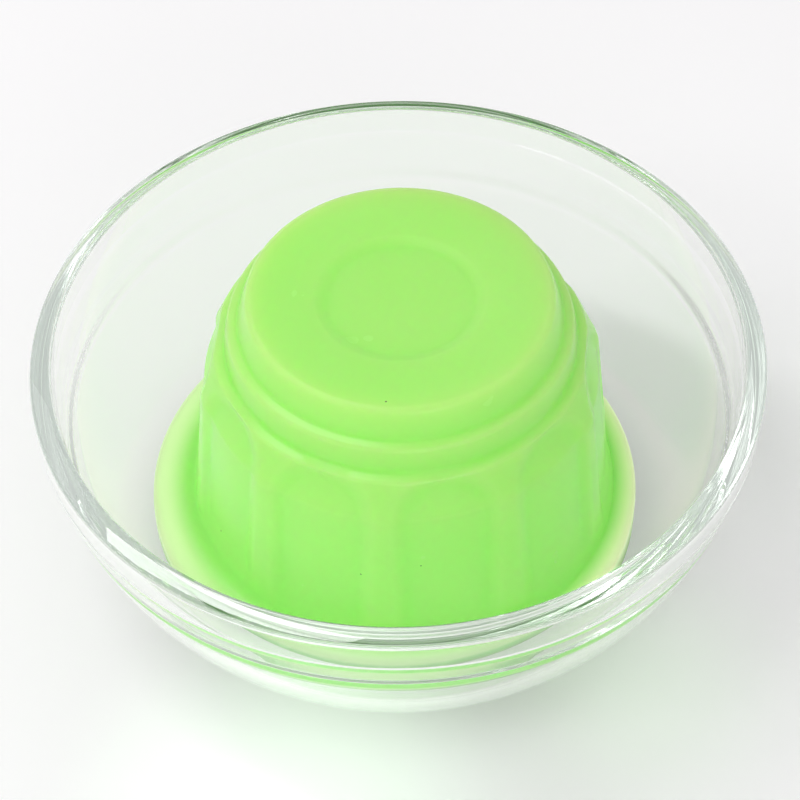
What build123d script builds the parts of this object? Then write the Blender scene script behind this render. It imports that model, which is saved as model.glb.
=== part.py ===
from build123d import *
from math import hypot, sqrt
import os

# A pressed-glass bowl that holds a gel turned out of a stepped, fluted pudding cup.
# Millimetres. +Z is up, the bowl stands on Z = 0, and the origin is the centre of its foot.
# The near side is -Y. The bowl and the gel are loose: the gel lifts straight up out of the bowl.

# ---- glass bowl ----
rim_diameter = 120.0          # over the collar band's upper corner, before it is rounded
bowl_height = 53.2            # table to the lip's inner corner, before it is rounded
wall_radius = 60.0            # radius of the wall's outer curve, in section
wall_thickness = 3.55         # at the rim
wall_taper = 1.2              # the inner curve's centre lies this far below the outer one's
floor_thickness = 4.5
floor_blend = 18.0            # radius where the inside floor turns up into the wall
lip_drop = 1.2                # the lip's outer edge lies this far below its inner edge
lip_inner_round = 0.7
lip_outer_round = 0.9
collar_height = 6.3           # straight band below the lip
collar_step = 0.6             # how far the band stands out from the wall
collar_draft = 0.2            # the band tapers in by this much towards its lower edge
collar_round = 0.25
foot_diameter = 54.0
foot_ring_width = 4.0
foot_recess = 0.8             # the middle of the underside is raised by this much
foot_round = 0.6

# ---- gel ----
seat_gap = 0.3                # kept between the gel and the glass all round
body_offset = 0.5             # the gel's body stands this far to the right of the bowl's axis
skirt_offset = -1.07          # and its skirt has slumped this far to the left
skirt_diameter = 83.3
skirt_edge = 3.5              # height of the skirt's rim above the glass it lies on
skirt_round = 1.4
foot_radius = 36.0            # body radius where it meets the skirt
foot_cove = 2.2               # soft hollow between body and skirt

# How far in from the edge below it, and how far above it, each edge of the stepped side lies.
shoulder_inset = 2.7
shoulder_rise = 28.0
lower_ring_inset = 2.9
lower_ring_rise = 6.6
upper_ring_inset = 2.4
upper_ring_rise = 4.9
top_inset = 3.4
top_rise = 5.8
tread_width = 1.7             # sloping step between one tier and the next
tread_drop = 0.6
tread_round = 0.5
tier_round = 0.8
shoulder_round = 4.0
top_round = 1.2
dimple_radius = 13.4
dimple_depth = 0.7
dimple_slope = 1.0
top_dish = 0.8                # the top sags by this much towards the dimple

panel_count = 10              # arch-topped flutes round the side
panel_width = 16.0
panel_first_angle = -78.3     # direction of the first flute's middle, from +X
panel_depth = 0.9             # how far the flutes are sunk into the side
panel_foot_gap = 3.2          # plain band between the flutes and the skirt


def outer_curve():
    """Centre (radius, height) and radius of the wall's outside: from the foot's edge to the collar's root."""
    collar_root = (rim_diameter / 2 - collar_step, bowl_height - lip_drop - collar_height)
    foot_edge = (foot_diameter / 2, 0.0)
    run = collar_root[0] - foot_edge[0]
    rise = collar_root[1] - foot_edge[1]
    half_chord = hypot(run, rise) / 2
    reach = sqrt(wall_radius ** 2 - half_chord ** 2)
    middle_r = (collar_root[0] + foot_edge[0]) / 2
    middle_z = (collar_root[1] + foot_edge[1]) / 2
    centre_r = middle_r - reach * rise / (2 * half_chord)
    centre_z = middle_z + reach * run / (2 * half_chord)
    return (centre_r, centre_z, wall_radius)


def inner_curve(gap):
    """The same for the wall's inside, drawn in from the glass by gap."""
    centre_r, centre_z, radius = outer_curve()
    return (centre_r, centre_z - wall_taper, radius - wall_thickness - gap)


def curve_r(curve, z):
    """Radius from the axis at height z on a curve."""
    centre_r, centre_z, radius = curve
    return centre_r + sqrt(radius ** 2 - (centre_z - z) ** 2)


def curve_z(curve, r):
    """Height at radius r on a curve."""
    centre_r, centre_z, radius = curve
    return centre_z - sqrt(radius ** 2 - (r - centre_r) ** 2)


def curve_between(curve, z_low, z_high):
    """The stretch of a curve from one height to another, as an arc."""
    z_middle = (z_low + z_high) / 2
    ends = [(curve_r(curve, z), z) for z in (z_low, z_middle, z_high)]
    return ThreePointArc(*ends)


def nearest_vertex(shape, r, z):
    """The corner of a section that lies nearest a point."""
    return min(shape.vertices(), key=lambda v: hypot(v.X - r, v.Y - z))


def spun(section):
    """A section drawn as (radius, height), turned into a solid about Z."""
    return revolve(Plane.XZ * section, Axis.Z)


def side_edges():
    """Radius and height above the skirt of the gel's foot, shoulder, lower ring, upper ring and top."""
    steps = [
        (shoulder_inset, shoulder_rise),
        (lower_ring_inset, lower_ring_rise),
        (upper_ring_inset, upper_ring_rise),
        (top_inset, top_rise),
    ]
    edges = [(foot_radius, 0)]
    for inset, rise in steps:
        r, level = edges[-1]
        edges.append((r - inset, level + rise))
    return edges


def cavity_section(gap):
    """Half-section of the space inside the bowl, kept clear of the glass by gap."""
    wall = inner_curve(gap)
    floor_z = floor_thickness + gap
    floor_r = curve_r(wall, floor_z)
    mouth_r = curve_r(wall, bowl_height)
    above = bowl_height + side_edges()[-1][1]
    edges = [
        Line((0, floor_z), (floor_r, floor_z)),
        curve_between(wall, floor_z, bowl_height),
        Line((mouth_r, bowl_height), (mouth_r, above)),
        Line((mouth_r, above), (0, above)),
        Line((0, above), (0, floor_z)),
    ]
    section = make_face(Wire(edges))
    return fillet(nearest_vertex(section, floor_r, floor_z), floor_blend - gap)


def make_bowl():
    """The bowl: foot ring, curved wall, collar band and sloping lip, as one pressing."""
    rim_r = rim_diameter / 2
    foot_r = foot_diameter / 2
    recess_r = foot_r - foot_ring_width
    lip_z = bowl_height - lip_drop
    collar_z = lip_z - collar_height
    inner_r = curve_r(inner_curve(0), bowl_height)
    wall_r = rim_r - collar_step
    edges = [
        Line((0, foot_recess), (recess_r - foot_recess, foot_recess)),
        Line((recess_r - foot_recess, foot_recess), (recess_r, 0)),
        Line((recess_r, 0), (foot_r, 0)),
        curve_between(outer_curve(), 0, collar_z),
        Line((wall_r, collar_z), (rim_r - collar_draft, collar_z + collar_step)),
        Line((rim_r - collar_draft, collar_z + collar_step), (rim_r, lip_z)),
        Line((rim_r, lip_z), (inner_r, bowl_height)),
        Line((inner_r, bowl_height), (0, bowl_height)),
        Line((0, bowl_height), (0, foot_recess)),
    ]
    section = make_face(Wire(edges)) - cavity_section(0)
    section = fillet(nearest_vertex(section, rim_r, lip_z), lip_outer_round)
    section = fillet(nearest_vertex(section, inner_r, bowl_height), lip_inner_round)
    section = fillet(nearest_vertex(section, rim_r - collar_draft, collar_z + collar_step), collar_round)
    section = fillet(nearest_vertex(section, foot_r, 0), foot_round)
    return spun(section)


def skirt_level():
    """Height of the skirt's top: its rim stands skirt_edge above the glass that carries it."""
    widest = skirt_diameter / 2 + abs(skirt_offset)
    return curve_z(inner_curve(seat_gap), widest) + skirt_edge


def make_body():
    """The gel's stepped body with its dimple, before the flutes are sunk."""
    foot, shoulder, lower_ring, upper_ring, top = side_edges()
    disc_level = top[1] - top_dish
    points = [
        (0, disc_level - dimple_depth),
        (dimple_radius - dimple_slope, disc_level - dimple_depth),
        (dimple_radius, disc_level),
        top,
    ]
    rounds = [tread_round, tread_round, top_round]
    for r, level in (upper_ring, lower_ring):
        points += [(r - tread_width, level + tread_drop), (r, level)]
        rounds += [tread_round, tier_round]
    flare_r = foot_radius + foot_cove
    points += [shoulder, foot, (flare_r, 0)]
    rounds += [shoulder_round, foot_cove]
    outline = FilletPolyline(*points, radius=rounds)
    base = Polyline(points[-1], (flare_r, -tread_drop), (0, -tread_drop), points[0])
    section = make_face(Wire([*outline.edges(), *base.edges()]))
    return Pos(body_offset, 0, skirt_level()) * spun(section)


def make_panel():
    """What one arch-topped flute takes out of the body, standing in the direction +X."""
    edges = side_edges()[:3]
    panel_top = edges[-1][1]
    slope = [(r - panel_depth, level) for r, level in edges]
    beyond = foot_radius + panel_width
    sunk = make_face(Polyline(*slope, (beyond, panel_top), (beyond, 0), close=True))
    straight = panel_top - panel_width / 2 - panel_foot_gap
    arch = Pos(0, panel_foot_gap + straight / 2) * Rectangle(panel_width, straight)
    arch += Pos(0, panel_foot_gap + straight) * Circle(panel_width / 2)
    prism = extrude(Plane.YZ * arch, beyond)
    return Pos(body_offset, 0, skirt_level()) * (spun(sunk) & prism)


def make_skirt():
    """The thin skirt and all that lies under it, before the bowl's shape trims its underside."""
    outer_r = skirt_diameter / 2
    level = skirt_level()
    section = make_face(Polyline((0, 0), (outer_r, 0), (outer_r, level), (0, level), close=True))
    section = fillet(nearest_vertex(section, outer_r, level), skirt_round)
    return Pos(skirt_offset, 0, 0) * spun(section)


def make_jelly():
    """The gel: fluted body and skirt in one, with an underside that follows the bowl."""
    body = make_body()
    panel = make_panel()
    body_axis = Axis((body_offset, 0, 0), (0, 0, 1))
    for number in range(panel_count):
        body -= panel.rotate(body_axis, panel_first_angle + number * 360 / panel_count)
    return (body + make_skirt()) & spun(cavity_section(seat_gap))


os.makedirs("parts", exist_ok=True)
export_step(make_bowl(), "parts/glass_bowl.step")
export_step(make_jelly(), "parts/jelly.step")
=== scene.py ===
# %% [markdown]
# A clear pressed-glass bowl holds a green gel that has been turned out of a stepped, fluted cup.
# The frame gives the true sizes: two loose pieces, the bowl and the gel, both round about the
# z axis. The gel stands a little to one side. Here both get the finish that an eye would see:
# smooth glass that bends light, and a soft gel that glows. All lengths are in metres.

# %% The frame
from math import atan2, cos, hypot, pi, radians, sin, sqrt

import bpy
from mathutils import Matrix, Vector


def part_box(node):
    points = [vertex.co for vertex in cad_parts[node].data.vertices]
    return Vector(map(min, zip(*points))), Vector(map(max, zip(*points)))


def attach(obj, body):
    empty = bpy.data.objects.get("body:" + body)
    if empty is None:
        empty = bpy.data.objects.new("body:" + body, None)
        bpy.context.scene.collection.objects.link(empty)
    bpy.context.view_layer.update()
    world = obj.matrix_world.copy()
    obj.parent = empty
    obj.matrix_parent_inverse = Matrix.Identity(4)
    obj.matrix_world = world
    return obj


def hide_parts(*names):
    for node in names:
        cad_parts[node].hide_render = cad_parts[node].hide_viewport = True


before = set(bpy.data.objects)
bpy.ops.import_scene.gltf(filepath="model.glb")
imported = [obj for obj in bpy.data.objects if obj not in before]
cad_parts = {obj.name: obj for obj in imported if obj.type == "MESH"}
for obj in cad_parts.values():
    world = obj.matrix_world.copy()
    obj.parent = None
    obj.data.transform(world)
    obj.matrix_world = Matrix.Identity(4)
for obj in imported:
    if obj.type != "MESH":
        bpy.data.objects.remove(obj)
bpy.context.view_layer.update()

MM = 0.001
bowl_low, bowl_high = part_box("glass_bowl")
gel_low, gel_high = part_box("jelly")
print("bowl", [round(v / MM, 2) for v in bowl_high - bowl_low], "mm")
print("gel", [round(v / MM, 2) for v in gel_high - gel_low], "mm")

# %% [markdown]
# Everything here is round, so each piece starts as half of its cut section: a line of edges in
# the plane y = 0, with x as the radius. The line is drawn by extruding one vertex from point to
# point. Straight runs need only their ends. Curved runs are arcs, and a sharp corner of the line
# can be rounded afterwards with a vertex bevel, as on paper with a compass.

# %% Points on an arc
def arc(centre, radius, start, end, steps):
    """Points on an arc, from one angle to another, both in radians from the outward direction."""
    angles = [start + (end - start) * step / steps for step in range(steps + 1)]
    return [(centre[0] + radius * cos(a), centre[1] + radius * sin(a)) for a in angles]


quarter = arc((0, 0), 10, 0, pi / 2, 2)
print("a quarter arc of radius 10, in two steps", [(round(r, 2), round(z, 2)) for r, z in quarter])


# %% Drawing a section
def only(piece):
    """Make this piece the only one selected."""
    bpy.ops.object.select_all(action="DESELECT")
    piece.select_set(True)
    bpy.context.view_layer.objects.active = piece


def draw_section(name, points):
    """A line through (radius, height) points, drawn by extruding one vertex from each to the next."""
    bpy.ops.object.select_all(action="DESELECT")
    bpy.ops.mesh.primitive_plane_add(size=MM)
    piece = bpy.context.object
    piece.name = name
    bpy.ops.object.mode_set(mode="EDIT")
    bpy.ops.mesh.merge(type="CENTER")
    bpy.ops.transform.translate(value=(points[0][0], 0, points[0][1]))
    for here, there in zip(points, points[1:]):
        step = (there[0] - here[0], 0, there[1] - here[1])
        bpy.ops.mesh.extrude_vertices_move(TRANSFORM_OT_translate={"value": step})
    bpy.ops.object.mode_set(mode="OBJECT")
    print(name, "drawn with", len(piece.data.vertices), "points")
    return piece


# %% Rounding a corner of it
def round_corner(piece, corner, radius, segments=6):
    """Bevel the section's vertex nearest a (radius, height) point into an arc of this radius."""
    only(piece)
    place = Vector((corner[0], 0, corner[1]))
    dots = piece.data.vertices
    nearest = min(dots, key=lambda v: (v.co - place).length).index
    along = [e.vertices for e in piece.data.edges if nearest in e.vertices]
    arms = [dots[a + b - nearest].co - dots[nearest].co for a, b in along]
    opening = arms[0].angle(arms[1])
    offset = radius / max(0.01, sin(opening / 2)) * cos(opening / 2)
    bpy.ops.object.mode_set(mode="EDIT")
    bpy.ops.mesh.select_mode(type="VERT")
    bpy.ops.mesh.select_all(action="DESELECT")
    bpy.ops.object.mode_set(mode="OBJECT")
    piece.data.vertices[nearest].select = True
    bpy.ops.object.mode_set(mode="EDIT")
    bpy.ops.mesh.bevel(offset=offset, segments=segments, affect="VERTICES", clamp_overlap=False)
    bpy.ops.object.mode_set(mode="OBJECT")
    print("corner of", piece.name, "rounded to", round(radius / MM, 2), "mm")


# %% Spinning it
def turn(piece, steps):
    """Spin the section once round the z axis, close its join and poles, and face it outwards."""
    only(piece)
    bpy.ops.object.mode_set(mode="EDIT")
    bpy.ops.mesh.select_all(action="SELECT")
    bpy.ops.mesh.spin(steps=steps, angle=2 * pi, center=(0, 0, 0), axis=(0, 0, 1))
    bpy.ops.mesh.select_all(action="SELECT")
    bpy.ops.mesh.remove_doubles(threshold=0.01 * MM)
    bpy.ops.mesh.normals_make_consistent(inside=False)
    bpy.ops.object.mode_set(mode="OBJECT")
    bpy.ops.object.shade_smooth()
    print(piece.name, len(piece.data.vertices), "vertices", len(piece.data.polygons), "faces")


# %% [markdown]
# The bowl is one pressing: a foot ring, a curved wall about 3 mm thick, and a collar band under a
# lip that slopes outwards. It could be a solid cut by a second solid, but glass shows every facet
# of such a cut as a broken reflection. A section that is spun in many fine steps keeps each wall
# smooth. The inner curve's centre lies a little below the outer one's, so the wall thins downwards.
# A low soft bead runs round the inside below the collar, where a stacked bowl would come to rest.

# %% The bowl's sizes
rim_r = 60.0 * MM
lip_top = 53.2 * MM
wall_curve = 60.0 * MM
wall_t = 3.55 * MM
wall_taper = 1.2 * MM
floor_t = 4.5 * MM
floor_blend = 18.0 * MM
lip_drop = 1.2 * MM
lip_outer_round = 0.9 * MM
lip_inner_round = 0.7 * MM
collar_h = 6.3 * MM
collar_step = 0.6 * MM
collar_draft = 0.2 * MM
collar_round = 0.25 * MM
foot_r = 27.0 * MM
foot_ring = 4.0 * MM
foot_recess = 0.8 * MM
foot_round = 0.6 * MM
turn_steps = 320
curve_steps = 48
bend_steps = 20
inner_r = wall_curve - wall_t
collar_z = lip_top - lip_drop - collar_h
wall_r = rim_r - collar_step
print("the collar's lower edge is", round(collar_z / MM, 2), "mm up")

# %% The centres of the wall's two curves
chord = Vector((wall_r - foot_r, collar_z))
middle = Vector((wall_r + foot_r, collar_z)) / 2
reach = sqrt(wall_curve ** 2 - (chord.length / 2) ** 2)
outer_centre = middle + reach * Vector((-chord.y, chord.x)).normalized()
inner_centre = outer_centre - Vector((0, wall_taper))
print("centre of the outer curve", [round(v / MM, 2) for v in outer_centre], "mm")


# %% The inside of the bowl
def on_curve(centre, radius, z):
    """Angle, from outwards, of the point at height z on a curve."""
    rise = z - centre[1]
    return atan2(rise, sqrt(radius ** 2 - rise ** 2))


def inside_arcs(gap):
    """The wall's and the floor blend's arcs inside the bowl, and the angle at which they meet."""
    radius = inner_r - gap
    blend = floor_blend - gap
    blend_z = floor_t + gap + blend
    blend_r = inner_centre[0] + sqrt((radius - blend) ** 2 - (blend_z - inner_centre[1]) ** 2)
    joint = atan2(blend_z - inner_centre[1], blend_r - inner_centre[0])
    return radius, blend, (blend_r, blend_z), joint


def inner_section(gap, top_z):
    """The inside of the bowl from its mouth down to the axis, kept off the glass by gap."""
    radius, blend, blend_centre, joint = inside_arcs(gap)
    top = on_curve(inner_centre, radius, top_z)
    wall = arc(inner_centre, radius, top, joint, curve_steps)
    bend = arc(blend_centre, blend, joint, -pi / 2, bend_steps)
    return wall + bend[1:] + [(0, floor_t + gap)]


def inside_z(gap, r):
    """Height of the bowl's inside at a radius, raised off the glass by gap."""
    radius, blend, blend_centre, joint = inside_arcs(gap)
    if r <= blend_centre[0]:
        return floor_t + gap
    if r <= blend_centre[0] + blend * cos(joint):
        return blend_centre[1] - sqrt(blend ** 2 - (r - blend_centre[0]) ** 2)
    return inner_centre[1] - sqrt(radius ** 2 - (r - inner_centre[0]) ** 2)


print("the inside is flat out to", round(inside_arcs(0)[2][0] / MM, 2), "mm from the axis")

# %% The bead inside it
bead_z = 38.7 * MM
bead_half = 1.5 * MM
bead_t = 0.5 * MM
bead_steps = 24


def smooth(value):
    """0 below 0, 1 above 1, and a soft step between them."""
    value = min(1.0, max(0.0, value))
    return value * value * (3 - 2 * value)


def bead_rise(z):
    """How far the soft bead stands in from the wall at height z."""
    return bead_t * smooth(1 - abs(z - bead_z) / bead_half)


bead_top = on_curve(inner_centre, inner_r, bead_z + bead_half)
bead_foot = on_curve(inner_centre, inner_r, bead_z - bead_half)
wall = arc(inner_centre, inner_r, bead_top, bead_foot, bead_steps)
bead = [(r - bead_rise(z), z) for r, z in wall]
inside = inner_section(0, lip_top)
above_bead = [dot for dot in inside if dot[1] > bead[0][1]]
below_bead = [dot for dot in inside if dot[1] < bead[-1][1]]
inside = above_bead + bead + below_bead
print("the inside has", len(inside), "points,", len(bead), "of them on the bead")

# %% The bowl's section, spun
foot = [(0, foot_recess), (foot_r - foot_ring - foot_recess, foot_recess), (foot_r - foot_ring, 0)]
low = on_curve(outer_centre, wall_curve, 0)
high = on_curve(outer_centre, wall_curve, collar_z)
outside = arc(outer_centre, wall_curve, low, high, curve_steps)
collar = [(rim_r - collar_draft, collar_z + collar_step), (rim_r, lip_top - lip_drop)]
glass = draw_section("bowl_glass", foot + outside + collar + inside)
round_corner(glass, collar[1], lip_outer_round, 10)
round_corner(glass, inside[0], lip_inner_round, 10)
round_corner(glass, collar[0], collar_round, 6)
round_corner(glass, outside[0], foot_round, 5)
turn(glass, turn_steps)

# %% [markdown]
# The gel is one casting. Its top is a wide disc with a shallow dimple, two narrow steps lead down
# to a shoulder, and a thin skirt has run out round its foot and lies on the glass. Gel has no
# sharp edge anywhere, so each corner of the section is rounded before it is spun.

# %% The gel's sizes
seat_gap = 0.3 * MM
skirt_r = (gel_high.x - gel_low.x) / 2
skirt_shift = (gel_high.x + gel_low.x) / 2
body_shift = 0.5 * MM
rim_z = inside_z(seat_gap, skirt_r)
gel_height = 45.3 * MM
top_z = gel_high.z + 0.1 * MM  # rounding takes about this much off the top's edge
skirt_z = top_z - gel_height
foot_gel_r = 36.0 * MM
shoulder_r, shoulder_z = 33.3 * MM, skirt_z + 28.0 * MM
ring_r, ring_z = 30.4 * MM, skirt_z + 34.6 * MM
upper_r, upper_z = 28.0 * MM, skirt_z + 39.5 * MM
disc_r = 24.6 * MM
tread, tread_drop = 1.7 * MM, 0.6 * MM
dimple_r, dimple_slope, dimple_depth, disc_sag = 13.8 * MM, 1.9 * MM, 0.7 * MM, 0.8 * MM
skirt_round = 1.4 * MM
longest_edge = 0.9 * MM
print("skirt", round(skirt_z / MM, 2), "mm up, shifted", round(skirt_shift / MM, 2), "mm")


# %% Short edges for the flutes to bend
def divide_long(piece, longest):
    """Halve the section's edges until none of them is longer than this."""
    only(piece)
    for _ in range(8):
        dots = piece.data.vertices
        picked = [e.index for e in piece.data.edges
                  if (dots[e.vertices[0]].co - dots[e.vertices[1]].co).length > longest]
        if not picked:
            break
        bpy.ops.object.mode_set(mode="EDIT")
        bpy.ops.mesh.select_mode(type="EDGE")
        bpy.ops.mesh.select_all(action="DESELECT")
        bpy.ops.object.mode_set(mode="OBJECT")
        for index in picked:
            piece.data.edges[index].select = True
        bpy.ops.object.mode_set(mode="EDIT")
        bpy.ops.mesh.subdivide(number_cuts=1)
        bpy.ops.object.mode_set(mode="OBJECT")
    print(piece.name, "divided into", len(piece.data.edges), "edges")


# %% The gel's section, spun
corners = [
    (dimple_r - dimple_slope, top_z - disc_sag - dimple_depth, 2.5 * MM),
    (dimple_r, top_z - disc_sag, 2.5 * MM),
    (disc_r, top_z, 1.2 * MM),
    (upper_r - tread, upper_z + tread_drop, 0.8 * MM),
    (upper_r, upper_z, 0.9 * MM),
    (ring_r - tread, ring_z + tread_drop, 0.8 * MM),
    (ring_r, ring_z, 0.9 * MM),
    (shoulder_r, shoulder_z, 4.0 * MM),
    (foot_gel_r, skirt_z, 2.4 * MM),
    (skirt_r, skirt_z, skirt_round),
]
section = [(0, corners[0][1])] + [(r, z) for r, z, _ in corners]
gel = draw_section("gel", section + inner_section(seat_gap, rim_z))
for r, z, radius in corners:
    round_corner(gel, (r, z), radius)
divide_long(gel, longest_edge)
turn(gel, turn_steps)

# %% [markdown]
# Ten arch-topped flutes stand round the gel's side, each a shallow hollow pressed by the cup. They
# could be cut out by ten solids, but a cut leaves hard edges, and gel has none. So each vertex
# gets a weight that says how deep the hollow is there, and one Displace modifier pushes the skin
# in by that weight. In the same way the body is moved a little to the right and the skirt to the
# left, and the underside is raised or lowered so that the skirt stays on the glass.

# %% The flutes' sizes
flutes = 10
flute_half = 8.0 * MM
flute_first = radians(-78.3)
flute_foot = skirt_z + 3.2 * MM
flute_depth = 0.9 * MM
flute_edge = 1.6 * MM
arch_z = ring_z - flute_half
flute_top = ring_z + 1.0 * MM
flute_reach = ring_r - 1.2 * MM
print(flutes, "flutes, each", round(2 * flute_half / MM, 1), "mm wide")


# %% How much of the hollow each point gets
def flute_weight(co):
    """1 in the hollow of a flute, 0 outside it, and soft between."""
    out = hypot(co.x, co.y)
    if not skirt_z < co.z < flute_top or out < flute_reach:
        return 0.0
    around = (atan2(co.y, co.x) - flute_first) / (2 * pi / flutes)
    across = (around - round(around)) * 2 * pi / flutes * out
    depth_in = flute_half - hypot(across, max(0, co.z - arch_z))
    above_foot = smooth(0.5 + (co.z - flute_foot) / (4 * flute_edge))
    return smooth(0.5 + depth_in / (2 * flute_edge)) * above_foot


shares = [flute_weight(dot.co) for dot in gel.data.vertices]
print(sum(share > 0.5 for share in shares), "of the gel's", len(shares), "points lie in a flute")


# %% How much of the slump each point gets
slump_edge = skirt_r - 4.0 * MM
slump_top = skirt_z + 1.5 * MM
slump_fade = 2.5 * MM


def skirt_weight(co):
    """1 on the skirt and below it, 0 up on the body, and soft between."""
    if hypot(co.x, co.y) >= slump_edge:
        return 1.0
    return smooth((slump_top - co.z) / slump_fade)


def body_weight(co):
    """1 on the body, 0 on the skirt and below it."""
    return 1 - skirt_weight(co)


print("at the shoulder the body's share is", body_weight(Vector((shoulder_r, 0, shoulder_z))))


# %% Keeping the skirt on the glass
near_skin = 0.05 * MM
seat_step = 1.5 * MM


def seat_rise(co):
    """How far this point of the underside must rise to stay on the glass once the skirt has slid."""
    out = hypot(co.x, co.y)
    rise = inside_z(seat_gap, hypot(co.x + skirt_shift, co.y)) - inside_z(seat_gap, out)
    if abs(co.z - inside_z(seat_gap, out)) < near_skin:
        return rise
    if out > skirt_r - near_skin:
        return rise * max(0.0, 1 - (co.z - rim_z) / (skirt_z - skirt_round - rim_z))
    return 0.0


rises = [seat_rise(dot.co) / MM for dot in gel.data.vertices]
print("the underside rises by", round(min(rises), 2), "to", round(max(rises), 2), "mm")


# %% Pushing the skin in and the pieces over
def push(piece, group_name, weight_at, direction, distance):
    """Displace a piece along one direction, by a distance that is shared out by weight."""
    only(piece)
    group = piece.vertex_groups.new(name=group_name)
    for dot in piece.data.vertices:
        group.add([dot.index], weight_at(dot.co), "REPLACE")
    bend = piece.modifiers.new(group_name, "DISPLACE")
    bend.vertex_group = group_name
    bend.direction = direction
    bend.mid_level = 0
    bend.strength = distance
    bpy.ops.object.modifier_apply(modifier=bend.name)


push(gel, "flutes", flute_weight, "NORMAL", -flute_depth)
push(gel, "rise", lambda co: max(0.0, seat_rise(co)) / seat_step, "Z", seat_step)
push(gel, "fall", lambda co: max(0.0, -seat_rise(co)) / seat_step, "Z", -seat_step)
push(gel, "body", body_weight, "X", body_shift)
push(gel, "skirt", skirt_weight, "X", skirt_shift)
print("gel pushed by", [group.name for group in gel.vertex_groups])

# %% [markdown]
# The finishes are node materials on Object coordinates, in metres from the bowl's foot, so that a
# pattern stays in its place however the pieces move. A painted picture could do the same, but it
# would blur close up and has to be stretched over the round shapes. Small helpers write the nodes
# that they need: clouds, a held range, a mix of two colours, the distance from the axis, and a bump.

# %% A new material, and clouds for it
def new_material(name):
    """A node material with its Principled shader, ready to be given nodes."""
    material = bpy.data.materials.new(name)
    material.use_nodes = True
    nodes, links = material.node_tree.nodes, material.node_tree.links
    return material, nodes, links, nodes["Principled BSDF"]


def noise(nodes, links, coords, scale, detail=2.0):
    """A cloud pattern on the given coordinates; scale is in clouds per metre."""
    clouds = nodes.new("ShaderNodeTexNoise")
    clouds.inputs["Scale"].default_value = scale
    clouds.inputs["Detail"].default_value = detail
    links.new(coords, clouds.inputs["Vector"])
    return clouds.outputs["Fac"]


# %% Held ranges and mixed colours
def spread(nodes, links, value, start, end, low, high, kind="SMOOTHSTEP"):
    """Map a value from one range to another, held at both ends."""
    ramp = nodes.new("ShaderNodeMapRange")
    ramp.interpolation_type = kind
    for socket, number in (("From Min", start), ("From Max", end), ("To Min", low), ("To Max", high)):
        ramp.inputs[socket].default_value = number
    links.new(value, ramp.inputs["Value"])
    return ramp.outputs["Result"]


def blend(nodes, links, share, first, second):
    """Mix two colours, each a tuple or a socket, by a share."""
    mix = nodes.new("ShaderNodeMix")
    mix.data_type = "RGBA"
    links.new(share, mix.inputs[0])
    for socket, colour in ((mix.inputs[6], first), (mix.inputs[7], second)):
        if isinstance(colour, tuple):
            socket.default_value = (*colour, 1)
        else:
            links.new(colour, socket)
    return mix.outputs[2]


# %% The distance from the axis, and bumps
def from_axis(nodes, links, coords):
    """Distance from the object's upright axis."""
    flat = nodes.new("ShaderNodeVectorMath")
    flat.operation = "MULTIPLY"
    flat.inputs[1].default_value = (1, 1, 0)
    links.new(coords, flat.inputs[0])
    reach = nodes.new("ShaderNodeVectorMath")
    reach.operation = "LENGTH"
    links.new(flat.outputs["Vector"], reach.inputs[0])
    return reach.outputs["Value"]


def bumps(nodes, links, shader, height, strength, distance):
    """Let a height pattern tilt the shader's surface."""
    bump = nodes.new("ShaderNodeBump")
    bump.inputs["Strength"].default_value = strength
    bump.inputs["Distance"].default_value = distance
    links.new(height, bump.inputs["Height"])
    links.new(bump.outputs["Normal"], shader.inputs["Normal"])


# %% [markdown]
# Soda glass bends light by 1.5 and looks faintly green where it is thick, as in the rim. A tint on the
# surface would colour thin and thick parts alike, so the green is an absorption inside the volume. A real
# pressing is never quite even, which a very faint bump gives. A narrow ring under the collar, on the near
# side only, is frosted and made partly white: a painted highlight for the fine line that catches light
# there.

# %% Glass
glass_finish, nodes, links, shader = new_material("pressed_glass")
coords = nodes.new("ShaderNodeTexCoord").outputs["Object"]
shader.inputs["Base Color"].default_value = (1, 1, 1, 1)
shader.inputs["IOR"].default_value = 1.5
parts = nodes.new("ShaderNodeSeparateXYZ")
links.new(coords, parts.inputs["Vector"])
# Painted highlight: a narrow ring under the collar, on the near side only, is made rougher and mostly
# opaque white.
highlight_low, highlight_high = collar_z + 0.3 * MM, collar_z + 1.2 * MM
above = spread(nodes, links, parts.outputs["Z"], highlight_low, highlight_low + 0.15 * MM, 0.0, 1.0)
below = spread(nodes, links, parts.outputs["Z"], highlight_high - 0.2 * MM, highlight_high, 1.0, 0.0)
outer = spread(nodes, links, from_axis(nodes, links, coords), 58.4 * MM, 58.8 * MM, 0.0, 1.0)
far = spread(nodes, links, parts.outputs["Y"], -30 * MM, -5 * MM, 0.0, 1.0)
no_highlight = (0.0, 0.0, 0.0)
frosted_highlight = blend(nodes, links, below, no_highlight, above)
frosted_highlight = blend(nodes, links, outer, no_highlight, frosted_highlight)
frosted_highlight = blend(nodes, links, far, frosted_highlight, no_highlight)
links.new(spread(nodes, links, frosted_highlight, 0.0, 1.0, 0.0, 0.3), shader.inputs["Roughness"])
links.new(spread(nodes, links, frosted_highlight, 0.0, 1.0, 1.0, 0.15), shader.inputs["Transmission Weight"])
bumps(nodes, links, shader, noise(nodes, links, coords, 45, 1.0), 0.02, 0.4 * MM)
absorb = nodes.new("ShaderNodeVolumeAbsorption")
absorb.inputs["Color"].default_value = (0.65, 0.9, 0.72, 1)
absorb.inputs["Density"].default_value = 1.8
links.new(absorb.outputs["Volume"], nodes["Material Output"].inputs["Volume"])
glass.data.materials.append(glass_finish)
print(glass_finish.name, len(nodes), "nodes")
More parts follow.
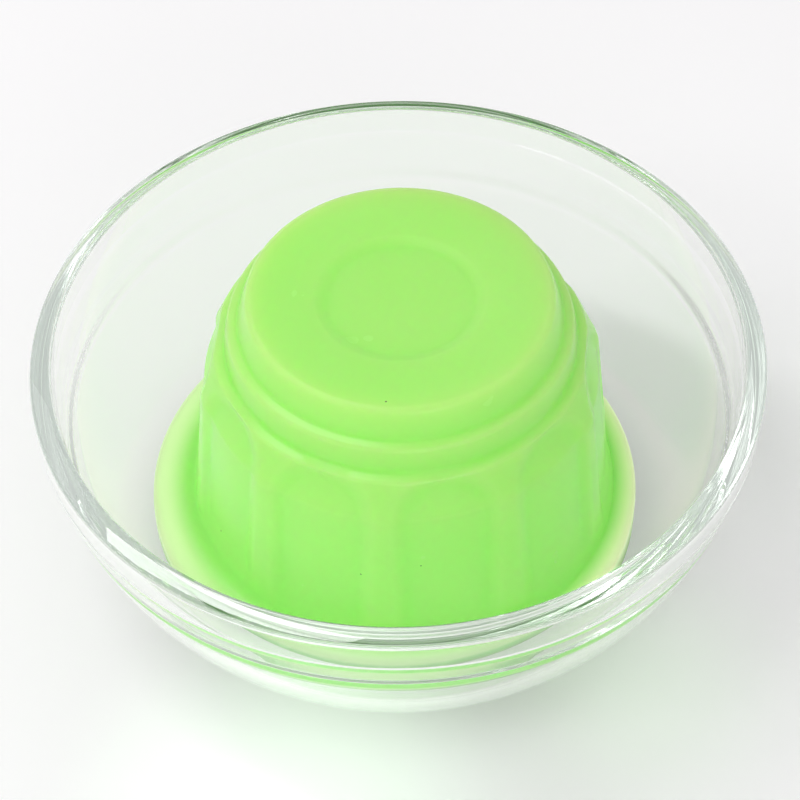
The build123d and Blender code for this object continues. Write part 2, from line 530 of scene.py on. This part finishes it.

# %% [markdown]
# The gel scatters light a centimetre or two deep, so subsurface scattering carries its colour, with cloudy
# tints and a few dark specks in it. The skirt is too thin for that: light would leak out of its underside
# and leave it grey. There the scattering fades out and a paler colour stands in, partly the thin gel's own
# tone and partly painted light that the thin skirt would let through. Below the skirt the underside is
# painted a darker green as shade. The gel is also lit from within by light that it gathers, and a painted
# glow, a weak emission low down, stands for it: green on the body, and on the skirt pale, greener in front
# and brighter on the right.

# %% Gel
gel_finish, nodes, links, shader = new_material("green_gel")
coords = nodes.new("ShaderNodeTexCoord").outputs["Object"]
parts = nodes.new("ShaderNodeSeparateXYZ")
links.new(coords, parts.inputs["Vector"])
clouds = noise(nodes, links, coords, 40)
body = blend(nodes, links, clouds, (0.43, 0.93, 0.18), (0.47, 0.94, 0.22))
# The skirt's paler colour is partly the thin gel's own tone and partly painted light that the thin skirt
# would let through.
rim_share = spread(nodes, links, from_axis(nodes, links, coords), 36.0 * MM, 41.0 * MM, 0.0, 1.0)
body = blend(nodes, links, rim_share, body, (0.72, 0.96, 0.46))
cells = nodes.new("ShaderNodeTexVoronoi")
cells.inputs["Scale"].default_value = 120
links.new(coords, cells.inputs["Vector"])
speck = spread(nodes, links, cells.outputs["Distance"], 0.016, 0.024, 1.0, 0.0)
body = blend(nodes, links, speck, body, (0.16, 0.28, 0.08))
# Painted shade: below the skirt, the gel's underside is coloured a darker green.
painted_underside_shade = spread(nodes, links, parts.outputs["Z"], 18.5 * MM, 16 * MM, 0.0, 1.0)
body = blend(nodes, links, painted_underside_shade, body, (0.30, 0.74, 0.15))
links.new(body, shader.inputs["Base Color"])
shader.inputs["IOR"].default_value = 1.35
shader.inputs["Subsurface Radius"].default_value = (0.6, 1.0, 0.5)
shader.inputs["Subsurface Scale"].default_value = 18 * MM
links.new(spread(nodes, links, rim_share, 0.0, 1.0, 1.0, 0.0, "LINEAR"), shader.inputs["Subsurface Weight"])

# %% Painted glow inside the gel, and its skin
# Painted glow: an emission that grows towards the bottom and stops under the skirt; green on the body, pale
# on the skirt, greener in front and brighter on the right.
low_share = spread(nodes, links, parts.outputs["Z"], 60 * MM, 34 * MM, 0.0, 0.17)
painted_glow_strength = nodes.new("ShaderNodeMath")
painted_glow_strength.operation = "MULTIPLY"
links.new(low_share, painted_glow_strength.inputs[0])
links.new(spread(nodes, links, parts.outputs["Z"], 13 * MM, 18 * MM, 0.0, 1.0), painted_glow_strength.inputs[1])
near = spread(nodes, links, parts.outputs["Y"], -12 * MM, -34 * MM, 0.0, 1.0)
painted_glow_tint = blend(nodes, links, near, (1.2, 1.6, 0.8), (0.1, 0.7, 0.1))
right_side = spread(nodes, links, parts.outputs["X"], 15 * MM, 38 * MM, 0.0, 1.0)
painted_glow_tint = blend(nodes, links, right_side, painted_glow_tint, (1.75, 1.85, 1.05))
links.new(blend(nodes, links, rim_share, (0.12, 1.0, 0.06), painted_glow_tint), shader.inputs["Emission Color"])
links.new(painted_glow_strength.outputs["Value"], shader.inputs["Emission Strength"])
gloss = spread(nodes, links, noise(nodes, links, coords, 150), 0.0, 1.0, 0.20, 0.30, "LINEAR")
links.new(gloss, shader.inputs["Roughness"])
bumps(nodes, links, shader, noise(nodes, links, coords, 60), 0.1, 0.1 * MM)
gel.data.materials.append(gel_finish)
print(gel_finish.name, len(nodes), "nodes")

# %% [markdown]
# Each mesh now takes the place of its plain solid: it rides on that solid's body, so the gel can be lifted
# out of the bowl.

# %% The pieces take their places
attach(glass, "bowl")
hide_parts("glass_bowl")
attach(gel, "gel")
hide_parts("jelly")
print(glass.name, "stands for glass_bowl, and", gel.name, "for jelly")

# %% [markdown]
# The bowl stands on plain white paper. Clear glass shows the paper through every wall, and the bowl
# and the gel gather light into a green-white patch in front. Tracing that light would take far too
# many rays, so soft pools of weak glow are painted on the paper: bright in front of the bowl and under
# its middle, dim round its foot and in the gel's shade.

# %% Floor
bpy.ops.object.select_all(action="DESELECT")
bpy.ops.mesh.primitive_plane_add(size=6.0, location=(0, 0, -0.05 * MM))
floor = bpy.context.object
floor.name = "floor"
floor_finish, nodes, links, shader = new_material("white_paper")
coords = nodes.new("ShaderNodeTexCoord").outputs["Object"]
shader.inputs["Base Color"].default_value = (0.88, 0.88, 0.88, 1)
shader.inputs["Roughness"].default_value = 0.7
print("floor", round(floor.dimensions.x, 1), "m wide")


# %% Pools of light on it
def pool(x, y, inner, outer, low, high):
    """A soft pool of light on the table: high inside the inner radius, low beyond the outer one."""
    away = nodes.new("ShaderNodeVectorMath")
    away.operation = "DISTANCE"
    away.inputs[1].default_value = (x, y, 0)
    links.new(coords, away.inputs[0])
    return spread(nodes, links, away.outputs["Value"], inner, outer, high, low)


front_patch = pool(-16 * MM, -52 * MM, 0, 46 * MM, 0.0, 1.0)
side_patch = pool(38 * MM, -32 * MM, 0, 36 * MM, 0.0, 1.0)
shade = pool(58 * MM, 34 * MM, 8 * MM, 44 * MM, 0.0, 1.0)
foot_edge = pool(0, 0, 30 * MM, 37 * MM, 0.0, 1.0)
foot_middle = pool(0, 0, 24 * MM, 30 * MM, 0.0, 1.0)
glow = blend(nodes, links, front_patch, (0.18, 0.17, 0.18), (0.42, 0.52, 0.42))
glow = blend(nodes, links, side_patch, glow, (0.23, 0.29, 0.22))
glow = blend(nodes, links, shade, glow, (0.11, 0.11, 0.11))
glow = blend(nodes, links, foot_edge, glow, (0.12, 0.14, 0.12))
glow = blend(nodes, links, foot_middle, glow, (0.26, 0.32, 0.24))
links.new(glow, shader.inputs["Emission Color"])
shader.inputs["Emission Strength"].default_value = 1.0
floor.data.materials.append(floor_finish)
print(floor_finish.name, len(nodes), "nodes")

# %% [markdown]
# A long lens stands well back and looks down at about 48 degrees, so the rim is a wide ellipse and
# the gel's top is seen with its side. The camera is placed round one point on the bowl's axis, aims
# a degree below it and is rolled a little, as a hand-held camera is.

# %% Camera
look_at = Vector((0, 0, 52 * MM))
distance = 407.6 * MM
place_angle = radians(47.616)
aim_angle = radians(48.813)
roll = radians(-1.109)
swing = radians(0.035)
forward = Vector((sin(swing) * cos(aim_angle), cos(swing) * cos(aim_angle), -sin(aim_angle)))
right = forward.cross(Vector((0, 0, 1))).normalized()
up = right.cross(forward)
right, up = cos(roll) * right + sin(roll) * up, cos(roll) * up - sin(roll) * right
place = look_at + distance * Vector((0, -cos(place_angle), sin(place_angle)))
bpy.ops.object.camera_add()
camera = bpy.context.object
camera.matrix_world = Matrix.Translation(place) @ Matrix((right, up, -forward)).transposed().to_4x4()
camera.data.lens = 112.5
camera.data.sensor_width = 36
camera.data.clip_start = 0.01
bpy.context.scene.camera = camera
print("camera", [round(v / MM) for v in place], "mm")

# %% [markdown]
# Glass is drawn by what it reflects. A long soft box above gives the white streak along the rim, a
# wide one in front fills the gel's side, and three small ones to the left give edges their light and
# send the shadow to the right. The sky is white above and patchy near the horizon, so that
# curved glass has something pale and something grey to bend.

# %% Lamps
def soft_box(name, place, aim, width, height, power, along=None):
    """A rectangular lamp that faces a point, with its width along a direction, or level."""
    lamp = bpy.data.lights.new(name, "AREA")
    lamp.shape = "RECTANGLE"
    lamp.size = width
    lamp.size_y = height
    lamp.energy = power
    holder = bpy.data.objects.new(name, lamp)
    bpy.context.scene.collection.objects.link(holder)
    facing = (Vector(place) - Vector(aim)).normalized()
    across = Vector(along) if along else Vector((0, 0, 1)).cross(facing)
    across = (across - across.dot(facing) * facing).normalized()
    turned = Matrix((across, facing.cross(across), facing)).transposed().to_4x4()
    holder.matrix_world = Matrix.Translation(place) @ turned
    return holder


soft_box("above", (-0.34, 0.04, 0.92), (0, 0, 0.04), 0.6, 0.11, 1.9, (0.76, -0.56, 0.33))
soft_box("back", (-0.75, 0.45, 0.75), (0, 0, 0.02), 0.4, 0.4, 0.5)
soft_box("left", (-0.6, -0.49, 0.78), (0, 0, 0.03), 0.2, 0.2, 0.6)
soft_box("low", (-0.8, -0.18, 0.54), (0.036, 0.041, 0.038), 0.5, 0.05, 0.7)
soft_box("front", (0.3, -1.0, 0.36), (0, 0, 0.03), 0.7, 0.7, 2.0)
print(len(bpy.data.lights), "soft boxes")

# %% Sky
world = bpy.data.worlds.new("studio")
bpy.context.scene.world = world
world.use_nodes = True
nodes, links = world.node_tree.nodes, world.node_tree.links
back = nodes["Background"]
around = nodes.new("ShaderNodeTexCoord").outputs["Generated"]
sky = nodes.new("ShaderNodeSeparateXYZ")
links.new(around, sky.inputs["Vector"])
height = spread(nodes, links, sky.outputs["Z"], 0.0, 0.35, 0.0, 1.0)
patches = spread(nodes, links, noise(nodes, links, around, 2.2, 0.0), 0.4, 0.6, 0.0, 1.0)
white = (1.0, 1.0, 1.0)
low = blend(nodes, links, patches, (0.55, 0.57, 0.57), white)
links.new(blend(nodes, links, height, low, white), back.inputs["Color"])
back.inputs["Strength"].default_value = 0.59
print("the sky's strength is", round(back.inputs["Strength"].default_value, 2))

# %% [markdown]
# A thick rim passes light round inside itself many times before it leaves, so the glass needs far
# more bounces than an opaque object, or the rim turns black.

# %% Bounces
scene = bpy.context.scene
scene.view_settings.view_transform = "Standard"
scene.cycles.use_denoising = True
glass_bounces = 64
scene.cycles.max_bounces = glass_bounces
scene.cycles.transmission_bounces = glass_bounces
scene.cycles.glossy_bounces = glass_bounces
scene.cycles.diffuse_bounces = 6
scene.cycles.transparent_max_bounces = 16
print("up to", scene.cycles.max_bounces, "bounces")
